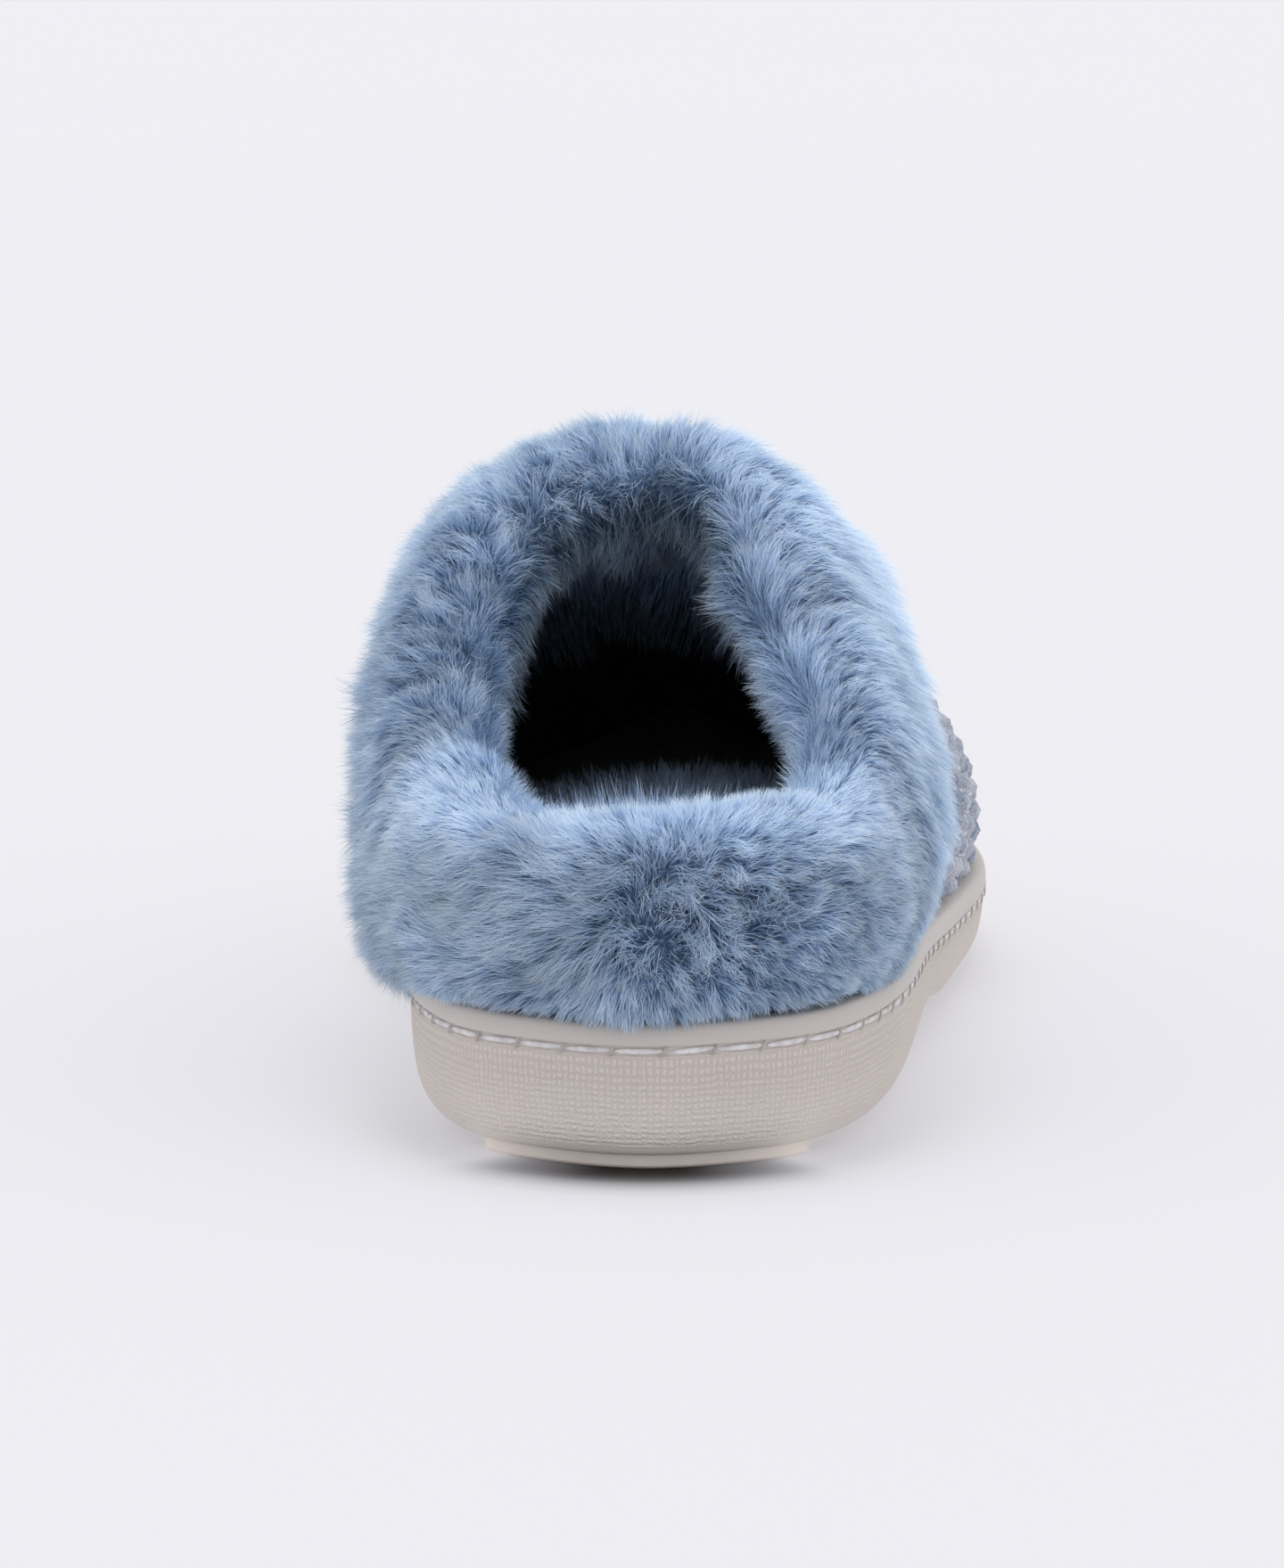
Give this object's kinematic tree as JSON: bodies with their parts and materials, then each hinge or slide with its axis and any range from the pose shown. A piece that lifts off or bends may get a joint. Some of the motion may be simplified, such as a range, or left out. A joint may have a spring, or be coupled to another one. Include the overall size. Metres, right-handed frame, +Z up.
{
  "type": "house slipper",
  "caption": "Closed-toe house slipper, right foot: hollow knitted upper, long-pile fur collar over heel and topline, plush footbed, moulded rubber cup sole with stitched lip and tread bars.",
  "frame": {"origin": "on the floor under the middle of the slipper's bounding box", "axes": "+Y from heel to toe, +X to the outer side of this right shoe, +Z up"},
  "size_m": [0.1026, 0.2782, 0.0991],
  "materials": {
    "outsole": "matt moulded rubber with a fine woven look on the side",
    "upper": "chunky looped knit",
    "fur_collar": "long soft pile",
    "insole": "plush pile"
  },
  "bodies": {
    "root": {"outsole": "outsole", "upper": "upper", "fur_collar": "fur_collar", "insole": "insole"}
  },
  "joints": []
}
